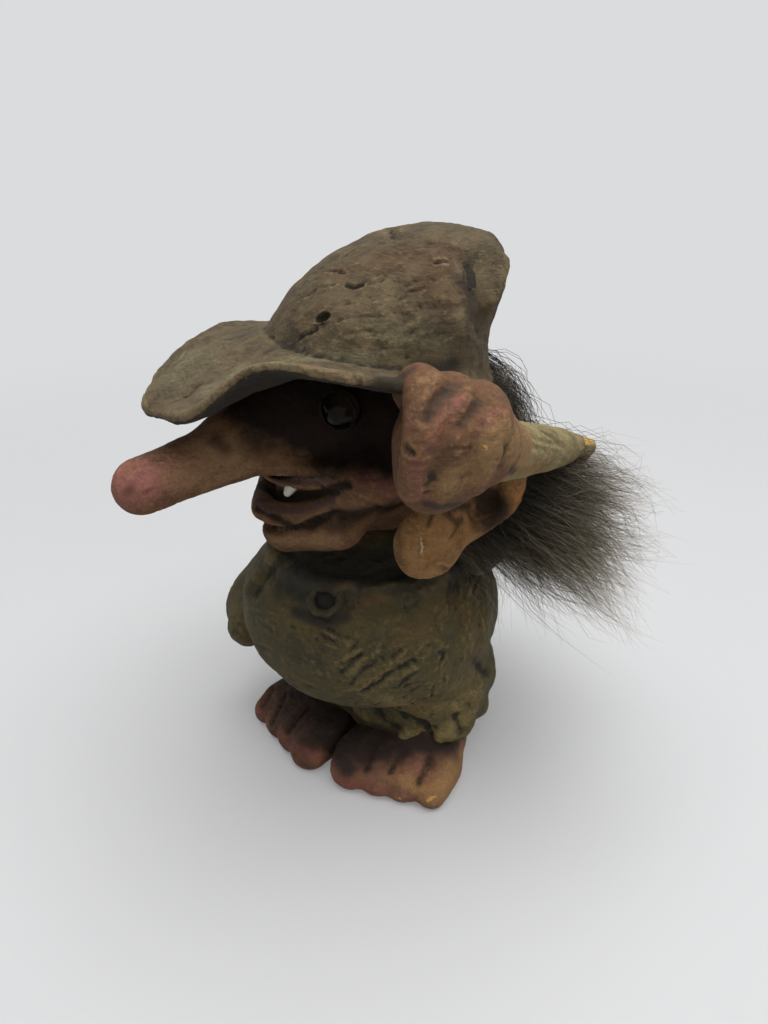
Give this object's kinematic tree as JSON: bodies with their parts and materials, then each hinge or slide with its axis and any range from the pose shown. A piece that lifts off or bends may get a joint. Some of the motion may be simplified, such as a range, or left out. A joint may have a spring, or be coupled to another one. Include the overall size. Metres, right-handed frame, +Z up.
{
  "type": "troll figurine",
  "caption": "Standing folk troll figurine with a long nose, big ears, bare feet and a fur wig, holding the brim of its slouch hat with one raised hand.",
  "frame": {"origin": "on the floor under the soles, below the middle of the figure's box", "axes": "+Z up; the body faces -Y, its left hand is on the +X side and the head is turned towards its right"},
  "size_m": [0.1128, 0.1346, 0.14],
  "materials": {
    "hat_paint": "matte olive brown paint, worn and pitted",
    "skin_paint": "matte brown paint with a dark wash and a pink blush",
    "ear_paint": "matte ochre paint with fine brush streaks",
    "cloth_paint": "matte olive paint over sculpted folds",
    "foot_paint": "matte reddish paint with a dark wash",
    "eye_glass": "clear polished",
    "eye_paint": "painted iris and pupil",
    "tooth_white": "satin white",
    "button_paint": "dark painted, worn rim",
    "fur": "grey brown fur with pale tips",
    "hide": "raw tanned hide",
    "foam": "soft open foam"
  },
  "bodies": {
    "root": {"hat": "hat_paint", "head": "skin_paint", "left_ear": "ear_paint", "right_ear": "ear_paint", "left_eye_glass": "eye_glass", "right_eye_glass": "eye_glass", "left_eye_back": "eye_paint", "right_eye_back": "eye_paint", "tooth": "tooth_white", "fur_wig": "fur", "fur_hide": "hide", "left_fist": "skin_paint", "left_sleeve": "cloth_paint", "right_sleeve": "cloth_paint", "torso_and_trousers": "cloth_paint", "trouser_button": "button_paint", "left_foot": "foot_paint", "right_foot": "foot_paint", "foam_core": "foam"}
  },
  "joints": []
}
